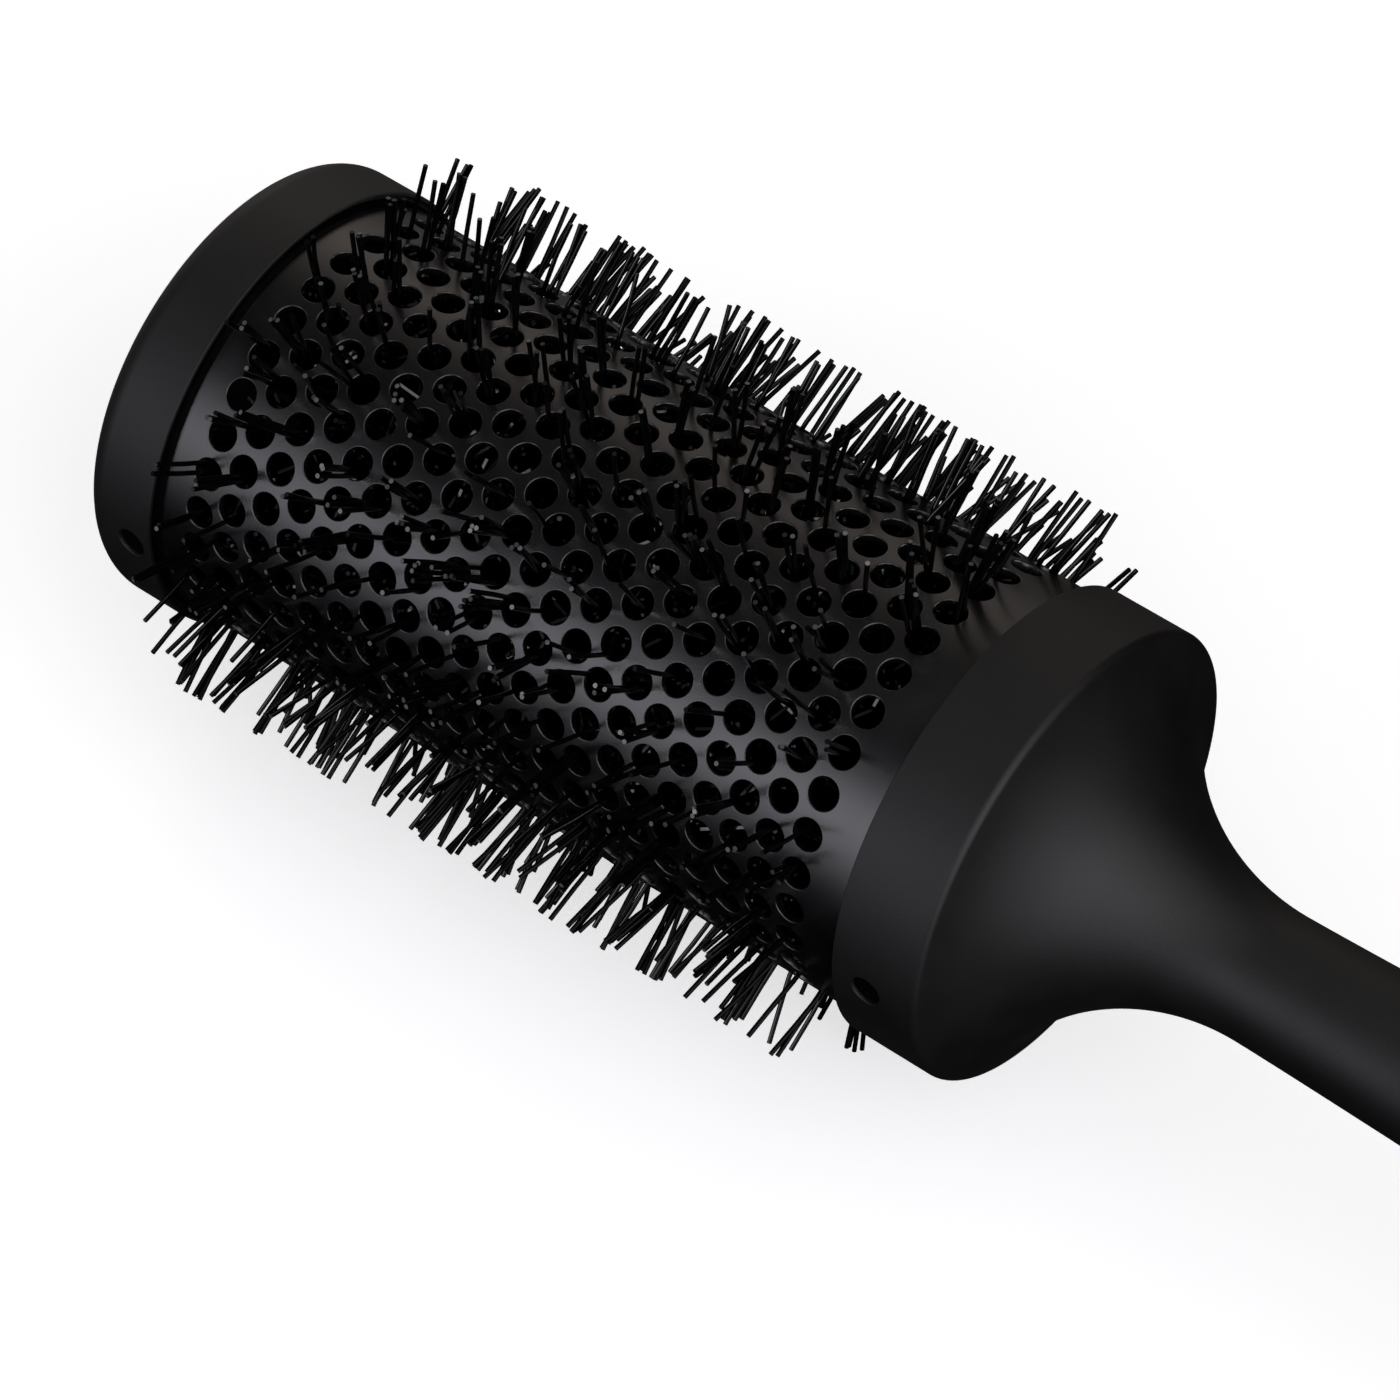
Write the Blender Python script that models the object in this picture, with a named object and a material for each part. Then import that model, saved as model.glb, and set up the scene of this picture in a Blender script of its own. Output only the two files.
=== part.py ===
"""Large round barrel brush: a vented metal barrel with bristles that stand out through its holes.

The brush lies along X with its cap at -X and its handle at +X. Z is up, and Z = 0 is the surface that
the lowest bristle tips touch. Stations are distances along the brush axis, measured from the cap's lip,
where the bare barrel begins, towards the handle.
"""

import math

import bmesh
import bpy
from mathutils import Matrix, Vector

MM = 0.001
GAP = 0.3 * MM                      # running gap between neighbouring pieces

# Barrel
BARREL_RADIUS = 27.5 * MM
BARREL_WALL = 0.9 * MM
BARREL_BORE = BARREL_RADIUS - BARREL_WALL
BARREL_START = -7.6 * MM
BARREL_END = 110.0 * MM
COLLAR_START = 102.0 * MM           # where the handle's collar begins to cover the barrel

# Vent holes: every ring holds 33. Only the odd rings are made here, 11 of the barrel's 21.
HOLES_PER_RING = 33
HOLE_RADIUS = 1.95 * MM
FIRST_RING = 6.04 * MM
RING_SPACING = 4.43 * MM
RING_STEP = 2
MODELLED_RINGS = 11
HOLE_PITCH = math.tau / HOLES_PER_RING
HOLE_PHASE = math.radians(7.77)     # first hole, from the top of the barrel towards -Y

# Cap and collar, which stand proud of the barrel by the same amount
COLLAR_RADIUS = 29.05 * MM
SKIRT_RADIUS = 27.9 * MM            # inside of the cap's and the collar's skirts
LIP_BEVEL = 0.15 * MM
LIP_RECESS_RADIUS = 28.6 * MM       # the cap's mouth is opened out, which leaves a groove round the barrel
LIP_RECESS_DEPTH = 0.8 * MM
CAP_FACE = -11.0 * MM
CAP_FLAT_RADIUS = 21.0 * MM
CAP_EDGE_RADIUS = 3.2 * MM
CAP_INNER_FACE = -8.0 * MM

# Handle
NECK_STATION = 141.5 * MM
NECK_RADIUS = 8.05 * MM
FLARE_RADIUS = 29.2 * MM            # arc from the collar's shoulder down to the neck
GRIP_STATION = 208.0 * MM
GRIP_RADIUS = 9.4 * MM
GRIP_END = 246.0 * MM
GRIP_END_RADIUS = 8.5 * MM
HANDLE_TIP = 250.0 * MM
SKIN = 1.3 * MM                     # soft-touch skin over the hard core
SKIN_GAP = 0.4 * MM
CORE_WALL = 2.1 * MM
CORE_BORE = 4.4 * MM
CORE_START = 104.0 * MM
CORE_END = 244.0 * MM
SHOULDER_FILLET = 1.0 * MM

# Hubs inside the barrel, and the pins that lock the cap and the handle to it
PLUG_RADIUS = BARREL_BORE - 0.4 * MM
RIM_RADIUS = 24.0 * MM
BOSS_RADIUS = 5.0 * MM
WEB = 2.4 * MM
PIN_RADIUS = 1.6 * MM
PIN_HOLE_RADIUS = 1.95 * MM
PIN_TOP = 28.3 * MM
PIN_FOOT = 24.3 * MM
CAP_PIN_STATION = -3.0 * MM
COLLAR_PIN_STATION = 106.75 * MM
PIN_ANGLES = (math.radians(92), math.radians(272))

# Twisted wire core and its bristles
WIRE_RADIUS = 0.8 * MM
WIRE_OFFSET = 0.98 * MM             # each strand's distance from the axis
WIRE_START = -6.8 * MM
WIRE_END = 119.0 * MM
WIRE_TURNS = 6.0
WIRE_BORE = 2.15 * MM
FERRULE_RADIUS = 3.6 * MM
TIP_RADIUS = 37.0 * MM              # bristle tips, from the axis
TUFTS_PER_ROW = 11
ROW_HUB_RADIUS = 3.3 * MM
ROW_HUB_LENGTH = 1.6 * MM
TUFT_TIP = 1.3 * MM

MID_STATION = (CAP_FACE + HANDLE_TIP) / 2
AXIS_HEIGHT = TIP_RADIUS

COLOURS = {                         # base colour, roughness, metallic
    "ceramic_black": ((0.020, 0.020, 0.023), 0.33, 0.55),
    "soft_touch_black": ((0.030, 0.030, 0.031), 0.62, 0.0),
    "moulded_black": ((0.040, 0.040, 0.042), 0.45, 0.0),
    "nylon_black": ((0.018, 0.018, 0.020), 0.38, 0.0),
    "steel_wire": ((0.56, 0.56, 0.57), 0.30, 1.0),
    "pin_black": ((0.022, 0.022, 0.024), 0.30, 0.6),
}


def clear_scene():
    for thing in list(bpy.data.objects):
        bpy.data.objects.remove(thing, do_unlink=True)


def material(slot):
    found = bpy.data.materials.get(slot)
    if found:
        return found
    colour, roughness, metallic = COLOURS[slot]
    made = bpy.data.materials.new(slot)
    made.use_nodes = True
    shader = made.node_tree.nodes["Principled BSDF"]
    shader.inputs["Base Color"].default_value = (*colour, 1.0)
    shader.inputs["Roughness"].default_value = roughness
    shader.inputs["Metallic"].default_value = metallic
    return made


def add_object(name, mesh_builder, slot):
    """Turn a finished bmesh into an object lying on the brush axis."""
    mesh = bpy.data.meshes.new(name)
    bmesh.ops.recalc_face_normals(mesh_builder, faces=mesh_builder.faces)
    mesh_builder.to_mesh(mesh)
    mesh_builder.free()
    mesh.shade_smooth()
    mesh.set_sharp_from_angle(angle=math.radians(35))
    mesh.materials.append(material(slot))
    made = bpy.data.objects.new(name, mesh)
    made.location = (-MID_STATION, 0.0, AXIS_HEIGHT)
    bpy.context.scene.collection.objects.link(made)
    return made


def turned(name, outline, slot, steps=32):
    """Spin a (station, radius) outline about the axis. It closes on the axis or as a loop."""
    shape = bmesh.new()
    verts = [shape.verts.new((station, 0.0, radius)) for station, radius in outline]
    edges = [shape.edges.new(pair) for pair in zip(verts, verts[1:])]
    if outline[0][1] > 0.0:
        edges.append(shape.edges.new((verts[-1], verts[0])))
    bmesh.ops.spin(shape, geom=verts + edges, cent=(0, 0, 0), axis=(1, 0, 0), angle=math.tau,
                   steps=steps, use_merge=True)
    bmesh.ops.remove_doubles(shape, verts=shape.verts, dist=0.001 * MM)
    return add_object(name, shape, slot)


def arc(centre, radius, start, end, points):
    """Outline points on a circle about (station, radius), with angles from +X towards the rim."""
    angles = [math.radians(start + (end - start) * i / (points - 1)) for i in range(points)]
    return [(centre[0] + radius * math.cos(a), centre[1] + radius * math.sin(a)) for a in angles]


def outward(angle):
    """Unit vector away from the axis, at an angle from the top towards -Y."""
    return Vector((0.0, -math.sin(angle), math.cos(angle)))


def bore_with(made, cutter):
    cut = made.modifiers.new("pin_holes", "BOOLEAN")
    cut.operation = "DIFFERENCE"
    cut.solver = "EXACT"
    cut.object = cutter


# Barrel ---------------------------------------------------------------------------------------

def barrel_columns():
    """Angles of the grid columns in one hole pitch, and each hole corner's axial half-height there."""
    half = HOLE_RADIUS / BARREL_RADIUS
    rise = HOLE_RADIUS * math.sin(math.radians(60))
    return [(-half, 0.0), (-half / 2, rise), (half / 2, rise), (half, 0.0)]


def barrel_tube():
    """Perforated sheet rolled into a tube: strips of quads run between six-cornered vent holes."""
    sheet = bmesh.new()
    rings = [FIRST_RING + RING_SPACING * RING_STEP * i for i in range(MODELLED_RINGS)]
    columns = []
    for hole in range(HOLES_PER_RING):
        for angle, rise in barrel_columns():
            direction = outward(HOLE_PHASE + HOLE_PITCH * hole + angle) * BARREL_RADIUS
            stations = [BARREL_START]
            for ring in rings:
                stations += [ring - rise, ring + rise] if rise else [ring]
            stations.append(BARREL_END)
            column = [sheet.verts.new((s, direction.y, direction.z)) for s in stations]
            columns.append((rise, column))
    for index, (rise, column) in enumerate(columns):
        next_rise, beside = columns[(index + 1) % len(columns)]
        for strip in range(MODELLED_RINGS + 1):
            here = strip_ends(column, rise, strip)
            there = strip_ends(beside, next_rise, strip)
            sheet.faces.new((here[0], here[1], there[1], there[0]))
    tube = add_object("barrel_tube", sheet, "ceramic_black")
    wall = tube.modifiers.new("wall", "SOLIDIFY")
    wall.thickness = BARREL_WALL
    wall.offset = -1.0
    return tube


def strip_ends(column, rise, strip):
    """The two corners of a strip between one ring of holes and the next."""
    if rise:
        return column[2 * strip], column[2 * strip + 1]
    return column[strip], column[strip + 1]


# Cap and handle -------------------------------------------------------------------------------

def front_cap():
    edge_centre = (-7.3 * MM, COLLAR_RADIUS - CAP_EDGE_RADIUS)
    outline = [(CAP_FACE, 0.0), (CAP_FACE, CAP_FLAT_RADIUS)]
    outline += arc(edge_centre, CAP_EDGE_RADIUS, 180, 90, 5)
    outline += [(-LIP_BEVEL, COLLAR_RADIUS), (0.0, COLLAR_RADIUS - LIP_BEVEL), (0.0, LIP_RECESS_RADIUS)]
    outline += [(-LIP_RECESS_DEPTH, LIP_RECESS_RADIUS), (-LIP_RECESS_DEPTH, SKIRT_RADIUS)]
    outline += [(CAP_INNER_FACE, SKIRT_RADIUS), (CAP_INNER_FACE, 0.0)]
    return turned("front_cap", outline, "soft_touch_black")


def flare_point(radius, arc_radius):
    """Station at which the flare's arc, or one offset from it, reaches a distance from the axis."""
    centre_radius = NECK_RADIUS + FLARE_RADIUS
    return NECK_STATION - math.sqrt(arc_radius ** 2 - (centre_radius - radius) ** 2)


def flare(arc_radius, top, points):
    """Points along the flare from a top radius down to the neck."""
    centre = (NECK_STATION, NECK_RADIUS + FLARE_RADIUS)
    start = math.degrees(math.atan2(top - centre[1], flare_point(top, arc_radius) - centre[0])) % 360
    return arc(centre, arc_radius, start, 270, points)


def grip_radius(station):
    """Radius of the grip's outside: it swells gently from the neck and narrows to its end."""
    if station < GRIP_STATION:
        along = (station - NECK_STATION) / (GRIP_STATION - NECK_STATION)
        return NECK_RADIUS + (GRIP_RADIUS - NECK_RADIUS) * math.sin(math.pi / 2 * along) ** 1.3
    along = (station - GRIP_STATION) / (GRIP_END - GRIP_STATION)
    return GRIP_RADIUS - (GRIP_RADIUS - GRIP_END_RADIUS) * along ** 2


def grip(inset, end, points):
    """Grip outline points behind the neck, set in from the outside by a distance."""
    step = (end - NECK_STATION) / points
    stations = [NECK_STATION + step * (i + 1) for i in range(points)]
    return [(s, grip_radius(s) - inset) for s in stations]


def shoulder(points):
    """Fillet that rolls from the collar into the flare, and the radius at which it meets the flare."""
    centre_radius = COLLAR_RADIUS - SHOULDER_FILLET
    rise = NECK_RADIUS + FLARE_RADIUS - centre_radius
    run = math.sqrt((FLARE_RADIUS + SHOULDER_FILLET) ** 2 - rise ** 2)
    meeting = math.atan2(rise, run)
    outline = arc((NECK_STATION - run, centre_radius), SHOULDER_FILLET, 90, math.degrees(meeting), points)
    return outline[:-1], centre_radius + SHOULDER_FILLET * math.sin(meeting)


def handle_skin():
    fillet, flare_top = shoulder(5)
    outline = [(COLLAR_START, COLLAR_RADIUS - LIP_BEVEL), (COLLAR_START + LIP_BEVEL, COLLAR_RADIUS)]
    outline += fillet
    outline += flare(FLARE_RADIUS, flare_top, 8)
    outline += grip(0.0, GRIP_END, 5)
    inner = [(COLLAR_START, SKIRT_RADIUS)]
    inner += flare(FLARE_RADIUS + SKIN, SKIRT_RADIUS, 6)
    inner += grip(SKIN, GRIP_END, 4)
    return turned("handle_skin", outline + inner[::-1], "soft_touch_black")


def handle_core():
    """Hard hollow moulding under the skin. Its front ring plugs the barrel and takes the pins."""
    flange = SKIRT_RADIUS - 0.5 * MM
    seat = BARREL_END + GAP
    outer = [(CORE_START, PLUG_RADIUS), (seat, PLUG_RADIUS), (seat, flange)]
    outer += flare(FLARE_RADIUS + SKIN + SKIN_GAP, flange, 6)
    outer += grip(SKIN + SKIN_GAP, CORE_END, 3)
    inner = [(CORE_START, RIM_RADIUS), (seat + 1.2 * MM, RIM_RADIUS)]
    inner += flare(FLARE_RADIUS + SKIN + SKIN_GAP + CORE_WALL, RIM_RADIUS - 3 * MM, 5)[:-1]
    inner += [(NECK_STATION, CORE_BORE), (CORE_END, CORE_BORE)]
    return turned("handle_core", outer + inner[::-1], "moulded_black", steps=24)


def end_plug():
    dome = GRIP_END_RADIUS - 0.1 * MM
    base = GRIP_END + GAP
    outline = [(234.0 * MM, 0.0), (234.0 * MM, CORE_BORE - GAP), (base, CORE_BORE - GAP), (base, dome)]
    for i in range(1, 5):
        a = math.pi / 2 * i / 5
        outline.append((base + (HANDLE_TIP - base) * math.sin(a), dome * math.cos(a)))
    outline.append((HANDLE_TIP, 0.0))
    return turned("end_plug", outline, "moulded_black", steps=20)


# Inside the barrel ----------------------------------------------------------------------------

def front_hub():
    """Plug in the cap end of the barrel, with a rim for the pins and a boss that holds the wires."""
    face = BARREL_START + GAP
    outline = [(face, PLUG_RADIUS), (-0.5 * MM, PLUG_RADIUS), (-0.5 * MM, RIM_RADIUS),
               (face + WEB, RIM_RADIUS), (face + WEB, BOSS_RADIUS), (2.5 * MM, BOSS_RADIUS),
               (2.5 * MM, WIRE_BORE), (face, WIRE_BORE)]
    return turned("front_hub", outline, "moulded_black", steps=24)


def rear_hub():
    """Disc at the handle end of the barrel that centres the wires."""
    face = CORE_START - GAP - WEB
    outline = [(face, PLUG_RADIUS), (face + WEB, PLUG_RADIUS), (face + WEB, WIRE_BORE),
               (98.0 * MM, WIRE_BORE), (98.0 * MM, BOSS_RADIUS), (face, BOSS_RADIUS)]
    return turned("rear_hub", outline, "moulded_black", steps=24)


def wire_ferrule(name, start, end):
    """Sleeve crimped round both strands."""
    outline = [(start, WIRE_BORE), (start, FERRULE_RADIUS), (end, FERRULE_RADIUS), (end, WIRE_BORE)]
    return turned(name, outline, "steel_wire", steps=12)


def core_wire(name, turn_offset):
    """One strand of the twisted pair, a helix about the axis."""
    curve = bpy.data.curves.new(name, "CURVE")
    curve.dimensions = "3D"
    curve.bevel_depth = WIRE_RADIUS
    curve.bevel_resolution = 1
    curve.use_fill_caps = True
    points = int(WIRE_TURNS * 8) + 1
    strand = curve.splines.new("POLY")
    strand.points.add(points - 1)
    for i, point in enumerate(strand.points):
        along = i / (points - 1)
        direction = outward(math.tau * (WIRE_TURNS * along + turn_offset)) * WIRE_OFFSET
        station = WIRE_START + (WIRE_END - WIRE_START) * along
        point.co = (station, direction.y, direction.z, 1.0)
    curve.materials.append(material("steel_wire"))
    made = bpy.data.objects.new(name, curve)
    made.location = (-MID_STATION, 0.0, AXIS_HEIGHT)
    bpy.context.scene.collection.objects.link(made)
    return made


def bristle_row(number):
    """A hub ring round the wires with one tuft through every third hole of a ring of vents."""
    row = bmesh.new()
    station = FIRST_RING + RING_SPACING * RING_STEP * (number - 1)
    pitch = math.tau / TUFTS_PER_ROW
    first = HOLE_PHASE + HOLE_PITCH * (number % 3)
    rings = []
    for side in (-0.5, 0.5):
        for radius in (WIRE_BORE, ROW_HUB_RADIUS):
            corners = [outward(first + pitch * (i - 0.5)) * radius for i in range(TUFTS_PER_ROW)]
            x = station + side * ROW_HUB_LENGTH
            rings.append([row.verts.new((x, c.y, c.z)) for c in corners])
    near_in, near_out, far_in, far_out = rings
    tuft_faces = []
    for i in range(TUFTS_PER_ROW):
        j = (i + 1) % TUFTS_PER_ROW
        row.faces.new((near_in[i], near_in[j], near_out[j], near_out[i]))
        row.faces.new((far_in[i], far_out[i], far_out[j], far_in[j]))
        row.faces.new((near_in[i], far_in[i], far_in[j], near_in[j]))
        tuft_faces.append(row.faces.new((near_out[i], near_out[j], far_out[j], far_out[i])))
    for i, face in enumerate(tuft_faces):
        grow_tuft(row, face, station, first + pitch * i)
    return add_object(f"bristle_row_{number:02d}", row, "nylon_black")


def grow_tuft(row, face, station, angle):
    """Draw one outer face of the hub ring out into a tapered tuft that ends at the tip radius."""
    grown = bmesh.ops.extrude_discrete_faces(row, faces=[face])["faces"][0]
    direction = outward(angle)
    tip = direction * TIP_RADIUS + Vector((station, 0.0, 0.0))
    middle = grown.calc_center_median()
    sideways = direction.cross(Vector((1.0, 0.0, 0.0)))
    for vert in grown.verts:
        offset = vert.co - middle
        vert.co = (tip + Vector((math.copysign(TUFT_TIP / 2, offset.x), 0.0, 0.0))
                   + sideways * math.copysign(TUFT_TIP / 2, offset.dot(sideways)))


# Pins -----------------------------------------------------------------------------------------

def radial_cylinder(shape, station, angle, radius, inner, outer, segments):
    """Add a cylinder that points away from the axis, between two distances from it."""
    middle = outward(angle) * ((inner + outer) / 2) + Vector((station, 0.0, 0.0))
    turn = outward(angle).to_track_quat("Z", "Y").to_matrix().to_4x4()
    bmesh.ops.create_cone(shape, cap_ends=True, segments=segments, radius1=radius, radius2=radius,
                          depth=outer - inner, matrix=Matrix.Translation(middle) @ turn)


def locking_pin(name, station, angle):
    pin = bmesh.new()
    radial_cylinder(pin, station, angle, PIN_RADIUS, PIN_FOOT, PIN_TOP, 12)
    return add_object(name, pin, "pin_black")


def pin_hole_cutter(name, station):
    holes = bmesh.new()
    for angle in PIN_ANGLES:
        radial_cylinder(holes, station, angle, PIN_HOLE_RADIUS, PIN_FOOT - 1.8 * MM, 31.0 * MM, 16)
    cutter = add_object(name, holes, "pin_black")
    cutter.hide_render = True
    cutter.display_type = "WIRE"
    return cutter


def main():
    clear_scene()
    tube = barrel_tube()
    cap = front_cap()
    hub = front_hub()
    rear_hub()
    core = handle_core()
    skin = handle_skin()
    end_plug()

    cap_cutter = pin_hole_cutter("cap_pin_cutter", CAP_PIN_STATION)
    collar_cutter = pin_hole_cutter("collar_pin_cutter", COLLAR_PIN_STATION)
    for piece in (tube, cap, hub):
        bore_with(piece, cap_cutter)
    for piece in (tube, core, skin):
        bore_with(piece, collar_cutter)
    for number, angle in enumerate(PIN_ANGLES, 1):
        locking_pin(f"cap_pin_{number}", CAP_PIN_STATION, angle)
        locking_pin(f"collar_pin_{number}", COLLAR_PIN_STATION, angle)

    core_wire("core_wire_a", 0.0)
    core_wire("core_wire_b", 0.5)
    wire_ferrule("front_ferrule", 3.0 * MM, 4.6 * MM)
    wire_ferrule("rear_ferrule", 106.0 * MM, 117.0 * MM)
    for number in range(1, MODELLED_RINGS + 1):
        bristle_row(number)


main()
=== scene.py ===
import math
import random

import bmesh
import bpy
import numpy as np
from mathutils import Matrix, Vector


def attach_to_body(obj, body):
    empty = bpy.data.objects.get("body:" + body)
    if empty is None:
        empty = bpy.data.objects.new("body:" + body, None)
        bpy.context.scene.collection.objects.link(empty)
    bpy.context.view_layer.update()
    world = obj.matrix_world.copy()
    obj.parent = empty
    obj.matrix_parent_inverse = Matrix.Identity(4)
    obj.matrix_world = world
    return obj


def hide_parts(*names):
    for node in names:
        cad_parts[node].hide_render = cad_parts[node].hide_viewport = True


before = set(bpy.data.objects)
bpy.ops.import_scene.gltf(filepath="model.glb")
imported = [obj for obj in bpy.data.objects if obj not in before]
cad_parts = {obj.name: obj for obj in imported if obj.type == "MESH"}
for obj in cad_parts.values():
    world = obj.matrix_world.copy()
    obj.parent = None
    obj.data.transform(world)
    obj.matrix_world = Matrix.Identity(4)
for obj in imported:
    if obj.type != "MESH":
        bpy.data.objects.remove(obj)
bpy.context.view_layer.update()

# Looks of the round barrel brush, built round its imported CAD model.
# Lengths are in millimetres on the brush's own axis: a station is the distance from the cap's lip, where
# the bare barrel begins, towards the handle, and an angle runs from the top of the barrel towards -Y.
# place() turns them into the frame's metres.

MM = 0.001

# Where the brush lies in the frame: its two ends, and the height of its axis
CAP_FACE = -11.0
HANDLE_TIP = 250.0
MID_STATION = (CAP_FACE + HANDLE_TIP) / 2
AXIS_HEIGHT = 37.0

# Barrel
BARREL_RADIUS = 27.5
BARREL_BORE = 26.6
BARREL_START = -7.6
BARREL_END = 110.0
COLLAR_START = 102.0

# The barrel is drawn in by this much where the cap goes over it, and widens again between two stations
NECKING = 0.35
NECKING_END = 0.55
FULL_WIDTH_START = 0.75

# Extra grid rows in the plain bands in front of the vents and behind them
FRONT_PLAIN_ROW = 1.5
REAR_PLAIN_ROW = 100.5

# Vents: 21 rings of 33 holes, every second ring turned by half a pitch
RINGS = 21
HOLES_PER_RING = 33
HOLE_RADIUS = 1.95
HOLE_BEVEL = 0.16
BEVEL_STEPS = ((1.0, 0.0), (0.3, 0.3), (0.0, 1.0))     # shares of a bevel, along the wall and into it
FIRST_RING = 6.04
RING_SPACING = 4.43
HOLE_PITCH = math.tau / HOLES_PER_RING
HOLE_PHASE = math.radians(7.77)

# The turned pieces share one set of columns, six to a hole pitch, and a hole takes a block of 6 x 6 cells
BLOCK = 6
COLUMNS = HOLES_PER_RING * BLOCK
COLUMN_STEP = math.tau / COLUMNS
FIRST_COLUMN = HOLE_PHASE - HOLE_PITCH / 2

# Cap and collar
COLLAR_RADIUS = 29.05
SKIRT_RADIUS = 27.9
LIP_ROUND = 0.12
LIP_RECESS_RADIUS = 28.6
LIP_RECESS_DEPTH = 0.7
LIP_RECESS_EASE = 0.1
CAP_FACE_RING = 10.0
CAP_FLAT_RADIUS = 20.0
CAP_CROWN_STEPS = 8
CAP_EDGE_RADIUS = 3.2
CAP_EDGE_STATION = -7.3
CAP_INNER_FACE = -8.0
CAP_INNER_EASE = 0.5
COLLAR_MOUTH_EASE = 0.15

# Handle
NECK_STATION = 141.5
NECK_RADIUS = 8.05
FLARE_RADIUS = 29.2
SHOULDER_FILLET = 1.0
GRIP_STATION = 208.0
GRIP_RADIUS = 9.4
GRIP_END = 246.0
GRIP_END_RADIUS = 8.5
GRIP_SWELL = 1.3                    # how slowly the grip starts to swell behind the neck
RIM_LENGTH = 0.3
RIM_EASE = 0.1
SKIN = 1.3
CORE_BORE = 4.4

# Plug in the handle's end: its spigot goes into the core, and a fine joint shows round its dome
PLUG_START = 234.0
PLUG_FIT = 0.3
PLUG_CHAMFER = 0.2
JOINT_WIDTH = 0.3
JOINT_DEPTH = 0.35
DOME_MARGIN = 0.08                  # the dome's arc stops this short of its rim and its pole, in radians

# Pins and the holes they stand in
PIN_RADIUS = 1.8
PIN_CHAMFER = 0.15
DIMPLE_RADIUS = 0.7
DIMPLE_DEPTH = 0.25
PIN_HOLE_RADIUS = 1.95
PIN_HOLE_BEVEL = 0.12
PIN_TOP = 28.7
PIN_FOOT = 24.3
PIN_BLOCK = 4.6
CAP_PIN_STATION = -3.0
COLLAR_PIN_STATION = 106.75
PIN_ANGLES = (math.radians(92), math.radians(272))

# Twisted wires
WIRE_RADIUS = 0.8
WIRE_OFFSET = 0.98
WIRE_START = -6.8
WIRE_END = 119.0
WIRE_TURNS = 14.0
WIRE_SIDES = 12
POINTS_IN_TURN = 20

# Bristles: how many share a vent, and their distances from the axis where they start, turn towards the
# vent, have just left it, and end
BRISTLES_IN_HOLE = [0] * 30 + [1] * 20 + [2] * 20 + [3] * 16 + [4] * 9 + [5] * 5
BRISTLE_RADIUS = 0.3
BRISTLE_SIDES = 8
ROOT_RADIUS = 2.0
TURN_RADIUS = 15.5
LEAVING_RADIUS = 28.3
TIP_RADIUS = 36.75
TIP_TRIM = (-0.5, 0.12)
SHORT_SHARE = 0.06                  # this share of them is cut shorter, by a length in the range below
SHORT_BY = (1.0, 6.0)

# Their lean, in millimetres for each millimetre outwards: it grows along the barrel and turns round it
LEAN_MIDDLE = 50.0
LEAN_SPAN = 46.0
FAN_LEAN = 0.05
SKEW_LEAN = 0.08
SKEW_GAIN = 0.06
SKEW_ANGLE = math.radians(55)
LEAN_REACH = 25.0                   # the depth over which the lean shifts a bristle's root

# How much they scatter: vents among one another, bristles in one vent, and points along one bristle
VENT_LEAN_SCATTER = 0.09
LEAN_SCATTER = 0.05
SPOT_SCATTER = 0.7
SPOT_OFFSET = (0.4, 1.5)
ROOT_SCATTER = (0.6, 0.7)
TIP_SCATTER = 0.2
MIDDLE_SCATTER = 0.06

# Bristles that miss the vents, turn aside at the wall and stay inside the barrel
TRAPPED_IN_RING = 200
TRAPPED_SIDES = 5
TRAPPED_SCATTER = 5.0
TRAPPED_REACH = (24.5, 26.2)
TRAPPED_RISE = 1.2

# One object holds the bristles of two neighbouring rings
GROUPS = range(1, RINGS // 2 + 2)
GROUP_NAMES = [f"bristles_{number:02d}" for number in GROUPS]

# Camera, as the photograph was taken. Azimuths turn from -Y towards +X, in degrees.
CAMERA_DIRECTION = (38.56, 48.43)
CAMERA_DISTANCE = 0.8
CAMERA_TARGET = Vector((-0.0667, 0.0091, 0.0135))
CAMERA_LENS = 170.7
CAMERA_SENSOR = 36.0

# Floor and backdrop, in metres
FLOOR_REACH = 6.0
BACKDROP_RADIUS = 5.9

# Light panels: azimuth, elevation, narrowness, sharpness of edge, strength and tint
PANELS = (
    (-18.0, 15.0, 14.0, 1.05, 2.2, (0.97, 0.955, 1.05)),
    (-116.0, 5.0, 4.8, 1.2, 0.26, (1.06, 1.0, 0.94)),
    (-136.0, 28.0, 17.9, 0.8, 0.7, (1.12, 0.99, 0.91)),
    (63.0, 19.0, 5.1, 1.9, 2.0, (0.98, 0.98, 1.04)),
    (72.0, 67.0, 4.4, 4.0, 0.75, (1.0, 1.0, 1.0)),
)

# Square lights for some pieces only: name, azimuth, elevation, size, energy and the pieces they light
SOFT_BOX_DISTANCE = 1.2
SOFT_BOXES = (
    ("back_light", 130.0, 10.0, 0.8, 5.5, ["barrel_shell", "cap_shell"]),
    ("side_light", -66.0, 30.0, 0.25, 0.35, ["barrel_shell"]),
    ("bristle_top_light", 180.0, 78.0, 0.5, 9.0, GROUP_NAMES),
    ("bristle_front_light", -18.0, 25.0, 0.7, 18.0, GROUP_NAMES),
)

# Pieces out of sight keep their CAD shapes and only take a material
HIDDEN_PIECES = {
    "front_hub": "moulded_black",
    "rear_hub": "moulded_black",
    "handle_core": "moulded_black",
    "front_ferrule": "steel_wire",
    "rear_ferrule": "steel_wire",
}

BRISTLE_SEED = 56
rng = random.Random(BRISTLE_SEED)


# Geometry helpers -----------------------------------------------------------------------------

def place(station, radius, angle):
    """Frame coordinates, in metres, of points given on the brush's axis."""
    station, radius, angle = np.broadcast_arrays(station, radius, angle)
    return np.stack([(station - MID_STATION) * MM, -radius * np.sin(angle) * MM,
                     (AXIS_HEIGHT + radius * np.cos(angle)) * MM], axis=-1)


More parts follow.
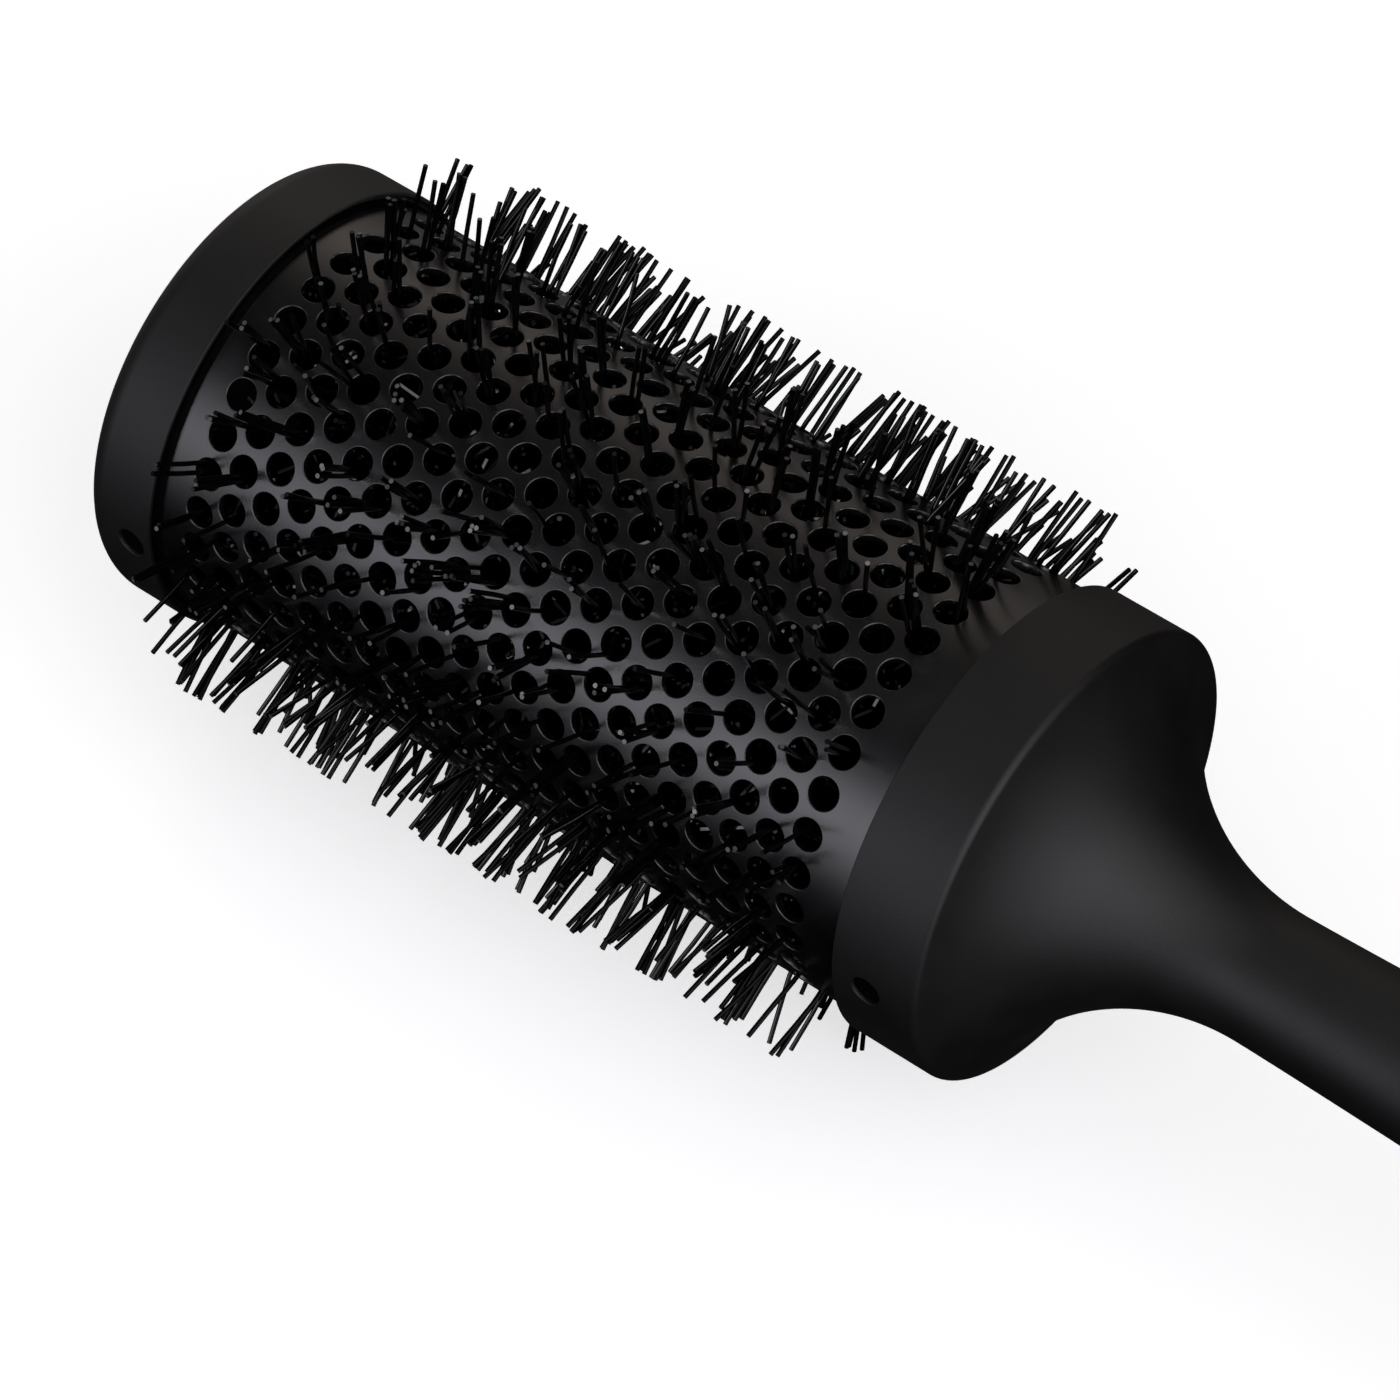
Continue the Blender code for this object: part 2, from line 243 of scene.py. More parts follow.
def toward(azimuth, elevation):
    """Unit vector from the brush towards something at an azimuth and an elevation in degrees."""
    azimuth = math.radians(azimuth)
    elevation = math.radians(elevation)
    level = math.cos(elevation)
    return Vector((math.sin(azimuth) * level, -math.cos(azimuth) * level, math.sin(elevation)))


class Surface:
    """Points and faces gathered before they become one mesh."""

    def __init__(self):
        self.points = []
        self.faces = []
        self.count = 0

    def add(self, points):
        """Add an array of points and return their numbers in the same arrangement."""
        points = np.asarray(points, float)
        numbers = self.count + np.arange(points.size // 3).reshape(points.shape[:-1])
        self.points.append(points.reshape(-1, 3))
        self.count += points.size // 3
        return numbers

    def bridge(self, first, second):
        """Join two closed loops of equal length with quads."""
        n = len(first)
        for i in range(n):
            j = (i + 1) % n
            self.faces.append((first[i], first[j], second[j], second[i]))

    def finish(self, name, material, smooth_angle=50.0):
        """Make the object, without the points that no face uses."""
        faces = [tuple(dict.fromkeys(int(v) for v in face)) for face in self.faces]
        faces = [face for face in faces if len(face) > 2]
        used = sorted({v for face in faces for v in face})
        renumber = dict(zip(used, range(len(used))))
        points = np.concatenate(self.points)[used]
        mesh = bpy.data.meshes.new(name)
        mesh.from_pydata(points.tolist(), [], [[renumber[v] for v in face] for face in faces])
        tidy = bmesh.new()
        tidy.from_mesh(mesh)
        bmesh.ops.recalc_face_normals(tidy, faces=tidy.faces)
        tidy.to_mesh(mesh)
        tidy.free()
        mesh.shade_smooth()
        mesh.set_sharp_from_angle(angle=math.radians(smooth_angle))
        mesh.materials.append(material)
        made = bpy.data.objects.new(name, mesh)
        bpy.context.scene.collection.objects.link(made)
        return made


def weighted(made):
    """Let the broad faces keep their own normals, so that only the narrow ones look rounded."""
    made.modifiers.new("weighted_normals", "WEIGHTED_NORMAL").keep_sharp = True
    return made


def true_walls(made, tolerance=0.001 * MM, least_facing=0.7):
    """Give the round walls the normals of true cylinders, so that no facet shows round their holes.

    A face is part of a wall if its corners are equally far from the axis, within the tolerance.
    """
    mesh = made.data
    points = np.array([v.co for v in mesh.vertices])
    radial = points - np.array([0.0, 0.0, AXIS_HEIGHT * MM])
    radial[:, 0] = 0.0
    reach = np.linalg.norm(radial, axis=1)
    radial /= np.maximum(reach, MM)[:, None]
    corners = np.array([loop.vertex_index for loop in mesh.loops])
    starts = np.array([face.loop_start for face in mesh.polygons])
    counts = np.array([face.loop_total for face in mesh.polygons])
    farthest = np.maximum.reduceat(reach[corners], starts)
    nearest = np.minimum.reduceat(reach[corners], starts)
    on_wall = np.zeros(len(points), bool)
    on_wall[corners[np.repeat(farthest - nearest < tolerance, counts)]] = True
    normals = np.array([normal.vector for normal in mesh.corner_normals])
    side = (normals * radial[corners]).sum(axis=1)
    chosen = on_wall[corners] & (np.abs(side) > least_facing)
    normals[chosen] = radial[corners][chosen] * np.sign(side[chosen])[:, None]
    mesh.normals_split_custom_set(normals.tolist())
    return made


def perimeter(rows, columns):
    """The grid points round a block of cells, as (row, column) pairs, starting at its first corner."""
    around = [(0, c) for c in range(BLOCK)]
    around += [(r, BLOCK) for r in range(BLOCK)]
    around += [(BLOCK, c) for c in range(BLOCK, 0, -1)]
    around += [(r, 0) for r in range(BLOCK, 0, -1)]
    return [(rows[r], columns[c]) for r, c in around]


def hole_loop(station, angle, hole_radius, depth_radius):
    """Points round a hole drilled towards the axis, one for each point of a block's perimeter."""
    turn = math.radians(-135) + math.tau / (4 * BLOCK) * np.arange(4 * BLOCK)
    around = angle + np.arcsin(hole_radius * np.cos(turn) / depth_radius)
    return place(station + hole_radius * np.sin(turn), depth_radius, around)


def tube(name, outer, inner, holes, material):
    """Spin a wall about the axis: an outer and an inner (station, radius) outline, both from front to back.

    Each hole is (outer row, inner row, first column, station, angle, radius, bevel). It takes a block of
    cells out of both outlines and puts a round hole with a bevelled rim there.
    """
    surface = Surface()
    outline = np.array(outer + inner[::-1], float)
    angles = FIRST_COLUMN + COLUMN_STEP * np.arange(COLUMNS)
    grid = surface.add(place(outline[:, :1], outline[:, 1:], angles[None, :]))
    for row, radius in enumerate(outline[:, 1]):
        if radius == 0.0:
            grid[row, :] = grid[row, 0]
    total = len(outline)
    open_cells = np.zeros((total, COLUMNS), bool)
    for outer_row, inner_row, column, station, angle, radius, bevel in holes:
        columns = [(column + c) % COLUMNS for c in range(BLOCK + 1)]
        outer_rows = [outer_row + r for r in range(BLOCK + 1)]
        inner_rows = [total - 1 - inner_row - r for r in range(BLOCK + 1)]
        open_cells[np.ix_(outer_rows[:-1], columns[:-1])] = True
        open_cells[np.ix_(inner_rows[1:], columns[:-1])] = True
        outside = outline[outer_row, 1]
        inside = outline[inner_rows[0], 1]
        loops = [[grid[r, c] for r, c in perimeter(outer_rows, columns)]]
        for widen, drop in BEVEL_STEPS:
            rim = hole_loop(station, angle, radius + widen * bevel, outside - drop * bevel)
            loops.append(surface.add(rim))
        loops.append(surface.add(hole_loop(station, angle, radius, inside)))
        loops.append([grid[r, c] for r, c in perimeter(inner_rows, columns)])
        for first, second in zip(loops, loops[1:]):
            surface.bridge(first, second)
    closed = outline[0, 1] > 0.0
    for row in range(total if closed else total - 1):
        below = (row + 1) % total
        for column in range(COLUMNS):
            if not open_cells[row, column]:
                beside = (column + 1) % COLUMNS
                surface.faces.append((grid[row, column], grid[row, beside],
                                      grid[below, beside], grid[below, column]))
    return true_walls(surface.finish(name, material))


def turned(name, outline, material, steps=96):
    """Spin a (station, radius) outline that starts and ends on the axis, or closes as a loop."""
    surface = Surface()
    outline = np.array(outline, float)
    angles = math.tau / steps * np.arange(steps)
    grid = surface.add(place(outline[:, :1], outline[:, 1:], angles[None, :]))
    for row, radius in enumerate(outline[:, 1]):
        if radius == 0.0:
            grid[row, :] = grid[row, 0]
    rows = list(grid) + ([grid[0]] if outline[0, 1] > 0.0 else [])
    for first, second in zip(rows, rows[1:]):
        surface.bridge(first, second)
    return weighted(surface.finish(name, material))


def arc(centre, radius, start, end, points):
    """Outline points on a circle about (station, radius). Angles, in degrees, turn from +X outwards."""
    angles = np.radians(np.linspace(start, end, points))
    return [(centre[0] + radius * math.cos(a), centre[1] + radius * math.sin(a)) for a in angles]


def spread(start, end, radius, steps):
    """Outline points at even stations along one radius."""
    return [(s, radius) for s in np.linspace(start, end, steps + 1)]


def pin_rows(station, radius):
    """Grid rows for the block of cells that a pin hole takes."""
    return spread(station - PIN_BLOCK / 2, station + PIN_BLOCK / 2, radius, BLOCK)


def pin_holes(outer_row, inner_row, station):
    """The two holes, one on either side, that pins stand in, as tube() takes them."""
    holes = []
    for angle in PIN_ANGLES:
        column = round((angle - FIRST_COLUMN) / COLUMN_STEP) - BLOCK // 2
        holes.append((outer_row, inner_row, column, station, angle, PIN_HOLE_RADIUS, PIN_HOLE_BEVEL))
    return holes


# Materials ------------------------------------------------------------------------------------

def new_material(name):
    """A material with its node tree and its main shader."""
    made = bpy.data.materials.new(name)
    made.use_nodes = True
    tree = made.node_tree
    return made, tree, tree.nodes["Principled BSDF"]


def noise(tree, scale, detail=2.0, stretch=None):
    """Noise in the frame's own coordinates, with its scale in features per metre."""
    where = tree.nodes.new("ShaderNodeTexCoord")
    texture = tree.nodes.new("ShaderNodeTexNoise")
    texture.inputs["Scale"].default_value = scale
    texture.inputs["Detail"].default_value = detail
    source = where.outputs["Object"]
    if stretch:
        mapping = tree.nodes.new("ShaderNodeMapping")
        mapping.inputs["Scale"].default_value = stretch
        tree.links.new(source, mapping.inputs["Vector"])
        source = mapping.outputs["Vector"]
    tree.links.new(source, texture.inputs["Vector"])
    return texture.outputs["Fac"]


def ranged(tree, value, low, high, start=0.3, end=0.7):
    """Spread a noise value over a range."""
    span = tree.nodes.new("ShaderNodeMapRange")
    span.inputs["From Min"].default_value = start
    span.inputs["From Max"].default_value = end
    span.inputs["To Min"].default_value = low
    span.inputs["To Max"].default_value = high
    tree.links.new(value, span.inputs["Value"])
    return span.outputs["Result"]


def mixed(tree, value, first, second):
    """A colour between two, by a value from 0 to 1."""
    mix = tree.nodes.new("ShaderNodeMix")
    mix.data_type = "RGBA"
    mix.inputs["A"].default_value = (*first, 1.0)
    mix.inputs["B"].default_value = (*second, 1.0)
    tree.links.new(value, mix.inputs["Factor"])
    return mix.outputs["Result"]


def shaded(tree, shader, value, dark, pale):
    """Let a noise value shade the base colour between two colours."""
    tree.links.new(mixed(tree, ranged(tree, value, 0.0, 1.0), dark, pale), shader.inputs["Base Color"])


def roughened(tree, shader, value, low, high):
    """Let a noise value vary the roughness."""
    tree.links.new(ranged(tree, value, low, high), shader.inputs["Roughness"])


def bumped(tree, shader, height, distance):
    """Let a noise value raise the surface, by up to a distance in metres."""
    bump = tree.nodes.new("ShaderNodeBump")
    bump.inputs["Distance"].default_value = distance
    tree.links.new(height, bump.inputs["Height"])
    tree.links.new(bump.outputs["Normal"], shader.inputs["Normal"])


def ceramic_black():
    """Satin ceramic coat on the barrel: a fine, slightly cloudy spray texture."""
    made, tree, shader = new_material("ceramic coat")
    cloud = noise(tree, scale=260.0, detail=3.0)
    grain = noise(tree, scale=5200.0)
    shaded(tree, shader, cloud, dark=(0.0015, 0.0015, 0.0018), pale=(0.003, 0.003, 0.0035))
    roughened(tree, shader, cloud, low=0.19, high=0.23)
    shader.inputs["IOR"].default_value = 1.68
    bumped(tree, shader, grain, distance=0.000012)
    return made


def soft_touch_black():
    """Rubbery soft-touch coat of the cap and the handle."""
    made, tree, shader = new_material("soft touch coat")
    cloud = noise(tree, scale=120.0, detail=3.0)
    grain = noise(tree, scale=7000.0)
    shaded(tree, shader, cloud, dark=(0.0012, 0.0012, 0.0013), pale=(0.0024, 0.0024, 0.0026))
    roughened(tree, shader, cloud, low=0.48, high=0.53)
    shader.inputs["IOR"].default_value = 1.48
    bumped(tree, shader, grain, distance=0.00002)
    return made


def moulded_black():
    """Hard moulded plastic of the hubs, the core and the end plug."""
    made, tree, shader = new_material("moulded plastic")
    cloud = noise(tree, scale=200.0)
    grain = noise(tree, scale=3500.0, detail=3.0)
    shaded(tree, shader, cloud, dark=(0.014, 0.014, 0.015), pale=(0.022, 0.022, 0.023))
    roughened(tree, shader, grain, low=0.34, high=0.46)
    bumped(tree, shader, grain, distance=0.00003)
    return made


def nylon_black():
    """Black nylon filament, drawn smooth along its length, with a painted highlight on its cut end for
    light glinting on the tip.
    """
    made, tree, shader = new_material("nylon filament")
    shade = noise(tree, scale=900.0)
    cut = tree.nodes.new("ShaderNodeAttribute")
    cut.attribute_name = "cut_end_glint"
    body = mixed(tree, ranged(tree, shade, 0.0, 1.0),
                 first=(0.0002, 0.0002, 0.0002), second=(0.0005, 0.0005, 0.0005))
    # The paler colour on the cut end faces is a painted highlight, standing in for light glinting on the
    # bristle tips
    end = tree.nodes.new("ShaderNodeMix")
    end.data_type = "RGBA"
    end.inputs["B"].default_value = (0.042, 0.042, 0.044, 1.0)
    tree.links.new(cut.outputs["Fac"], end.inputs["Factor"])
    tree.links.new(body, end.inputs["A"])
    tree.links.new(end.outputs["Result"], shader.inputs["Base Color"])
    roughened(tree, shader, shade, low=0.08, high=0.15)
    shader.inputs["IOR"].default_value = 1.2
    bumped(tree, shader, shade, distance=0.00002)
    return made


def steel_wire():
    """Drawn steel wire with fine lines along it."""
    made, tree, shader = new_material("drawn steel")
    lines = noise(tree, scale=2500.0, detail=3.0, stretch=(0.06, 1.0, 1.0))
    shaded(tree, shader, lines, dark=(0.36, 0.36, 0.37), pale=(0.50, 0.50, 0.50))
    roughened(tree, shader, lines, low=0.25, high=0.42)
    shader.inputs["Metallic"].default_value = 1.0
    bumped(tree, shader, lines, distance=0.00002)
    return made


def pin_black():
    """Blackened steel pins."""
    made, tree, shader = new_material("blackened pin")
    blotch = noise(tree, scale=1400.0, detail=3.0)
    shaded(tree, shader, blotch, dark=(0.0005, 0.0005, 0.0006), pale=(0.001, 0.001, 0.0012))
    roughened(tree, shader, blotch, low=0.35, high=0.50)
    shader.inputs["IOR"].default_value = 1.15
    bumped(tree, shader, blotch, distance=0.00003)
    return made


FINISHES = {
    "ceramic_black": ceramic_black(),
    "soft_touch_black": soft_touch_black(),
    "moulded_black": moulded_black(),
    "nylon_black": nylon_black(),
    "steel_wire": steel_wire(),
    "pin_black": pin_black(),
}


def attach(piece, slot, *nodes):
    """Let a piece move with the brush and stand for its CAD nodes."""
    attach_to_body(piece, "root")
    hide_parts(*nodes)


# Barrel, cap and handle -----------------------------------------------------------------------

def barrel_rows(radius, necking=0.0):
    """Outline along the barrel, with grid rows for both pin holes and all the vents.

    It comes with the number of the first vents' first row, and that of the first row at the rear pin holes.
    """
    drawn_in = radius - necking
    rows = [(BARREL_START, drawn_in)] + pin_rows(CAP_PIN_STATION, drawn_in)
    rows += [(NECKING_END, drawn_in), (FULL_WIDTH_START, radius), (FRONT_PLAIN_ROW, radius)]
    first_vent_row = len(rows)
    vents_start = FIRST_RING - RING_SPACING / 2
    vents_end = FIRST_RING + RING_SPACING * (RINGS - 0.5)
    rows += spread(vents_start, vents_end, radius, BLOCK * RINGS)
    rows += [(REAR_PLAIN_ROW, radius)]
    rear_pin_row = len(rows)
    rows += pin_rows(COLLAR_PIN_STATION, radius) + [(BARREL_END, radius)]
    return rows, first_vent_row, rear_pin_row


def barrel_shell():
    """Perforated barrel with all its vents and the holes of four pins."""
    outer, vent_row, rear_pin_row = barrel_rows(BARREL_RADIUS, NECKING)
    inner = barrel_rows(BARREL_BORE)[0]
    holes = []
    for ring in range(RINGS):
        row = vent_row + BLOCK * ring
        station = FIRST_RING + RING_SPACING * ring
        shift = BLOCK // 2 * (ring % 2)
        for hole in range(HOLES_PER_RING):
            column = hole * BLOCK + shift
            angle = FIRST_COLUMN + COLUMN_STEP * (column + BLOCK / 2)
            holes.append((row, row, column, station, angle, HOLE_RADIUS, HOLE_BEVEL))
    holes += pin_holes(1, 1, CAP_PIN_STATION)
    holes += pin_holes(rear_pin_row, rear_pin_row, COLLAR_PIN_STATION)
    shell = tube("barrel_shell", outer, inner, holes, FINISHES["ceramic_black"])
    attach(shell, "ceramic_black", "barrel_tube")


def cap_shell():
    """End cap: a flat face that falls softly to a rounded edge, and a skirt with a recess in its lip."""
    edge_centre = COLLAR_RADIUS - CAP_EDGE_RADIUS
    crown_end = CAP_EDGE_STATION - CAP_EDGE_RADIUS
    outer = [(CAP_FACE, 0.0), (CAP_FACE, CAP_FACE_RING)]
    for i in range(CAP_CROWN_STEPS + 1):
        along = i / CAP_CROWN_STEPS
        fall = (1 - math.cos(math.pi * along)) / 2
        outer.append((CAP_FACE + (crown_end - CAP_FACE) * fall,
                      CAP_FLAT_RADIUS + (edge_centre - CAP_FLAT_RADIUS) * along))
    outer += arc((CAP_EDGE_STATION, edge_centre), CAP_EDGE_RADIUS, 180, 90, points=12)[1:]
    outer_pin = len(outer)
    outer += pin_rows(CAP_PIN_STATION, COLLAR_RADIUS)
    outer += arc((-LIP_ROUND, COLLAR_RADIUS - LIP_ROUND), LIP_ROUND, 90, 0, points=5)
    inner = [(CAP_INNER_FACE, 0.0), (CAP_INNER_FACE, SKIRT_RADIUS - CAP_INNER_EASE),
             (CAP_INNER_FACE + CAP_INNER_EASE, SKIRT_RADIUS)]
    inner_pin = len(inner)
    inner += pin_rows(CAP_PIN_STATION, SKIRT_RADIUS)
    inner += [(-LIP_RECESS_DEPTH, SKIRT_RADIUS), (-LIP_RECESS_DEPTH, LIP_RECESS_RADIUS - LIP_RECESS_EASE),
              (-LIP_RECESS_DEPTH + LIP_RECESS_EASE, LIP_RECESS_RADIUS), (0.0, LIP_RECESS_RADIUS)]
    shell = tube("cap_shell", outer, inner, pin_holes(outer_pin, inner_pin, CAP_PIN_STATION),
                 FINISHES["soft_touch_black"])
    attach(shell, "soft_touch_black", "front_cap")


def flare_point(radius, arc_radius):
    """Station at which the flare's arc, or one offset from it, reaches a distance from the axis."""
    return NECK_STATION - math.sqrt(arc_radius ** 2 - (NECK_RADIUS + FLARE_RADIUS - radius) ** 2)


def flare(arc_radius, top, points):
    """Outline points along the flare from a top radius down to the neck."""
    centre = (NECK_STATION, NECK_RADIUS + FLARE_RADIUS)
    start = math.degrees(math.atan2(top - centre[1], flare_point(top, arc_radius) - centre[0])) % 360
    return arc(centre, arc_radius, start, 270, points)


def grip_radius(station):
    """Radius of the grip's outside: it swells gently from the neck and narrows to its end."""
    if station < GRIP_STATION:
        along = (station - NECK_STATION) / (GRIP_STATION - NECK_STATION)
        swell = math.sin(math.pi / 2 * along) ** GRIP_SWELL
        return NECK_RADIUS + (GRIP_RADIUS - NECK_RADIUS) * swell
    along = (station - GRIP_STATION) / (GRIP_END - GRIP_STATION)
    return GRIP_RADIUS - (GRIP_RADIUS - GRIP_END_RADIUS) * along ** 2


def grip(inset, end, points):
    """Outline points along the grip, or along one set inwards from it."""
    stations = np.linspace(NECK_STATION, end, points + 1)[1:]
    return [(s, grip_radius(s) - inset) for s in stations]


def shoulder(points):
    """Fillet that rolls from the collar into the flare, and the radius at which it meets the flare."""
    centre_radius = COLLAR_RADIUS - SHOULDER_FILLET
    rise = NECK_RADIUS + FLARE_RADIUS - centre_radius
    run = math.sqrt((FLARE_RADIUS + SHOULDER_FILLET) ** 2 - rise ** 2)
    meeting = math.atan2(rise, run)
    centre = (NECK_STATION - run, centre_radius)
    outline = arc(centre, SHOULDER_FILLET, 90, math.degrees(meeting), points)
    return outline[:-1], centre_radius + SHOULDER_FILLET * math.sin(meeting)


def handle_shell():
    """Soft-touch skin of the handle: collar, flare and grip in one hollow wall."""
    fillet, flare_top = shoulder(points=10)
    outer = arc((COLLAR_START + LIP_ROUND, COLLAR_RADIUS - LIP_ROUND), LIP_ROUND, 180, 90, points=5)
    outer_pin = len(outer)
    outer += pin_rows(COLLAR_PIN_STATION, COLLAR_RADIUS)
    outer += fillet
    outer += flare(FLARE_RADIUS, flare_top, points=36)
    outer += grip(0.0, GRIP_END - RIM_LENGTH, points=40)
    outer += [(GRIP_END - RIM_EASE, GRIP_END_RADIUS - RIM_EASE), (GRIP_END, GRIP_END_RADIUS - JOINT_DEPTH)]
    inner = [(COLLAR_START, SKIRT_RADIUS + COLLAR_MOUTH_EASE),
             (COLLAR_START + COLLAR_MOUTH_EASE, SKIRT_RADIUS)]
    inner_pin = len(inner)
    inner += pin_rows(COLLAR_PIN_STATION, SKIRT_RADIUS)
    inner += flare(FLARE_RADIUS + SKIN, SKIRT_RADIUS, points=20)
    inner += grip(SKIN, GRIP_END, points=16)
    shell = tube("handle_shell", outer, inner, pin_holes(outer_pin, inner_pin, COLLAR_PIN_STATION),
                 FINISHES["soft_touch_black"])
    attach(shell, "soft_touch_black", "handle_skin")


def handle_end():
    """Domed plug that closes the grip."""
    dome = GRIP_END_RADIUS - JOINT_DEPTH
    base = GRIP_END + JOINT_WIDTH
    spigot = CORE_BORE - PLUG_FIT
    outline = [(PLUG_START, 0.0), (PLUG_START, spigot - PLUG_CHAMFER), (PLUG_START + PLUG_CHAMFER, spigot),
               (base, spigot), (base, dome)]
    outline += [(base + (HANDLE_TIP - base) * math.sin(a), dome * math.cos(a))
                for a in np.linspace(DOME_MARGIN, math.pi / 2 - DOME_MARGIN, 12)]
    outline.append((HANDLE_TIP, 0.0))
    attach(turned("handle_end", outline, FINISHES["moulded_black"]), "moulded_black", "end_plug")


# Pins and wires -------------------------------------------------------------------------------

def frame_point(station, radius, angle):
    """One point of place(), as a vector."""
    return Vector(place(station, radius, angle).tolist())


def pin(name, node, station, angle, steps=32):
    """Round pin with a chamfered head and a shallow dimple in it."""
    length = PIN_TOP - PIN_FOOT
    outline = [(0.0, 0.0), (0.0, PIN_RADIUS), (length - PIN_CHAMFER, PIN_RADIUS),
               (length, PIN_RADIUS - PIN_CHAMFER), (length, DIMPLE_RADIUS), (length - DIMPLE_DEPTH, 0.0)]
    outward = (frame_point(station, 2.0, angle) - frame_point(station, 1.0, angle)).normalized()
    turn = outward.to_track_quat("Z", "Y").to_matrix()
    foot = frame_point(station, PIN_FOOT, angle)
    surface = Surface()
    rows = []
    for height, radius in outline:
        ring = [foot + turn @ Vector((radius * math.cos(a), radius * math.sin(a), height)) * MM
                for a in np.linspace(0.0, math.tau, steps, endpoint=False)]
        numbers = surface.add(np.array([list(p) for p in ring]))
        if radius == 0.0:
            numbers[:] = numbers[0]
        rows.append(numbers)
    for first, second in zip(rows, rows[1:]):
        surface.bridge(first, second)
    made = surface.finish(name, FINISHES["pin_black"], smooth_angle=30.0)
    attach(made, "pin_black", node)


def strand(name, node, turn_offset):
    """One strand of the twisted pair, a helix about the axis."""
    surface = Surface()
    along = np.linspace(0.0, 1.0, int(WIRE_TURNS * POINTS_IN_TURN) + 1)
    path = place(WIRE_START + (WIRE_END - WIRE_START) * along, WIRE_OFFSET,
                 math.tau * (WIRE_TURNS * along + turn_offset))
    add_filament(surface, path, WIRE_RADIUS, WIRE_SIDES)
    attach(surface.finish(name, FINISHES["steel_wire"]), "steel_wire", node)


def add_filament(surface, path, radius, sides):
    """Sweep a round section along a path and close both ends, the far end last."""
    slanted = (0.31, 0.52, 0.79)
    tangents = np.gradient(path, axis=0)
    tangents /= np.linalg.norm(tangents, axis=1)[:, None]
    side = np.cross(tangents[0], slanted)
    side /= np.linalg.norm(side)
    rings = []
    for point, tangent in zip(path, tangents):
        side = side - tangent * np.dot(side, tangent)
        side /= np.linalg.norm(side)
        up = np.cross(tangent, side)
        turn = math.tau / sides * np.arange(sides)
        round_section = np.cos(turn)[:, None] * side + np.sin(turn)[:, None] * up
        rings.append(surface.add(point + radius * MM * round_section))
    for first, second in zip(rings, rings[1:]):
        surface.bridge(first, second)
    surface.faces.append(tuple(rings[0][::-1]))
    surface.faces.append(tuple(rings[-1]))


# Bristles -------------------------------------------------------------------------------------

def common_lean(station, angle):
    """How far the bristles lean towards the handle for each millimetre outwards.

    The wires lie a little askew in the barrel, and the bristles fan out towards its handle end.
    """
    along = (station - LEAN_MIDDLE) / LEAN_SPAN
    return FAN_LEAN * along + (SKEW_LEAN + SKEW_GAIN * along) * math.cos(angle + SKEW_ANGLE)


def scattered(along, sideways):
    """A random shift along the brush and sideways, by the two spreads given."""
    return np.array([rng.gauss(0.0, along), rng.gauss(0.0, sideways)])


def bristle_path(station, angle, lean, spot):
    """A filament from the wires through a spot in one vent to its tip, bent a little at the vent."""
    hole = np.array([station + spot[0], spot[1]])
    root = np.array([station - lean[0] * LEAN_REACH, 0.0]) + scattered(*ROOT_SCATTER)
    reach = TIP_RADIUS + rng.uniform(*TIP_TRIM)
    if rng.random() < SHORT_SHARE:
        reach -= rng.uniform(*SHORT_BY)
    outside = reach - BARREL_RADIUS
    tip = hole + outside * lean + scattered(TIP_SCATTER, TIP_SCATTER)
    middle = (hole + tip) / 2 + scattered(MIDDLE_SCATTER, MIDDLE_SCATTER)
    stops = [(root, ROOT_RADIUS), (root * 0.45 + hole * 0.55, TURN_RADIUS), (hole, BARREL_BORE),
             (hole * 0.9 + tip * 0.1, LEAVING_RADIUS), (middle, (BARREL_RADIUS + reach) / 2), (tip, reach)]
    return np.array([on_barrel(angle, along, sideways, depth) for (along, sideways), depth in stops])


def trapped_path(station, angle):
    """A filament that misses the vents: it turns aside at the wall and lies along it."""
    along, sideways = scattered(TRAPPED_SCATTER, TRAPPED_SCATTER)
    reach = rng.uniform(*TRAPPED_REACH)
    stops = [(0.0, ROOT_RADIUS), (0.2, 0.6 * reach), (0.5, reach - TRAPPED_RISE), (1.0, reach)]
    return np.array([on_barrel(angle, station + share * along, share * sideways, depth)
                     for share, depth in stops])


def on_barrel(angle, station, sideways, depth, least_depth=4.0):
    """A point given by its distance from the axis and its sideways distance from a vent's centre line.

    Near the axis the least depth keeps it from swinging far round.
    """
    return place(station, depth, angle + math.atan2(sideways, max(depth, least_depth)))


def bristle_group(number):
    """The bristles through two neighbouring rings of vents, or through the last one alone."""
    surface = Surface()
    ends = []
    for ring in (2 * number - 2, 2 * number - 1):
        if ring >= RINGS:
            continue
        station = FIRST_RING + RING_SPACING * ring
        shift = ring % 2 / 2
        for hole in range(HOLES_PER_RING):
            angle = HOLE_PHASE + HOLE_PITCH * (hole + shift)
            vent_lean = (rng.gauss(common_lean(station, angle), VENT_LEAN_SCATTER),
                         rng.gauss(0.0, VENT_LEAN_SCATTER))
            spot_angle = rng.uniform(0.0, math.tau)
            for _ in range(rng.choice(BRISTLES_IN_HOLE)):
                lean = np.array(vent_lean) + scattered(LEAN_SCATTER, LEAN_SCATTER)
                turn = spot_angle + rng.gauss(0.0, SPOT_SCATTER)
                out = rng.uniform(*SPOT_OFFSET)
                spot = (out * math.sin(turn), out * math.cos(turn))
                path = bristle_path(station, angle, lean, spot)
                add_filament(surface, path, BRISTLE_RADIUS, BRISTLE_SIDES)
                ends.append(len(surface.faces) - 1)
        for _ in range(TRAPPED_IN_RING):
            beside = station + rng.uniform(-0.5, 0.5) * RING_SPACING
            path = trapped_path(beside, rng.uniform(0.0, math.tau))
            add_filament(surface, path, BRISTLE_RADIUS, TRAPPED_SIDES)
            ends.append(len(surface.faces) - 1)
    made = surface.finish(GROUP_NAMES[number - 1], FINISHES["nylon_black"])
    # Each cut end face gets a painted highlight of random strength, for light glinting on the tips
    glint_marks = made.data.attributes.new("cut_end_glint", "FLOAT", "FACE")
    values = np.zeros(len(made.data.polygons), np.float32)
    values[ends] = [rng.random() ** 2 for _ in ends]
    glint_marks.data.foreach_set("value", values)
    attach(made, "nylon_black", f"bristle_row_{number:02d}")


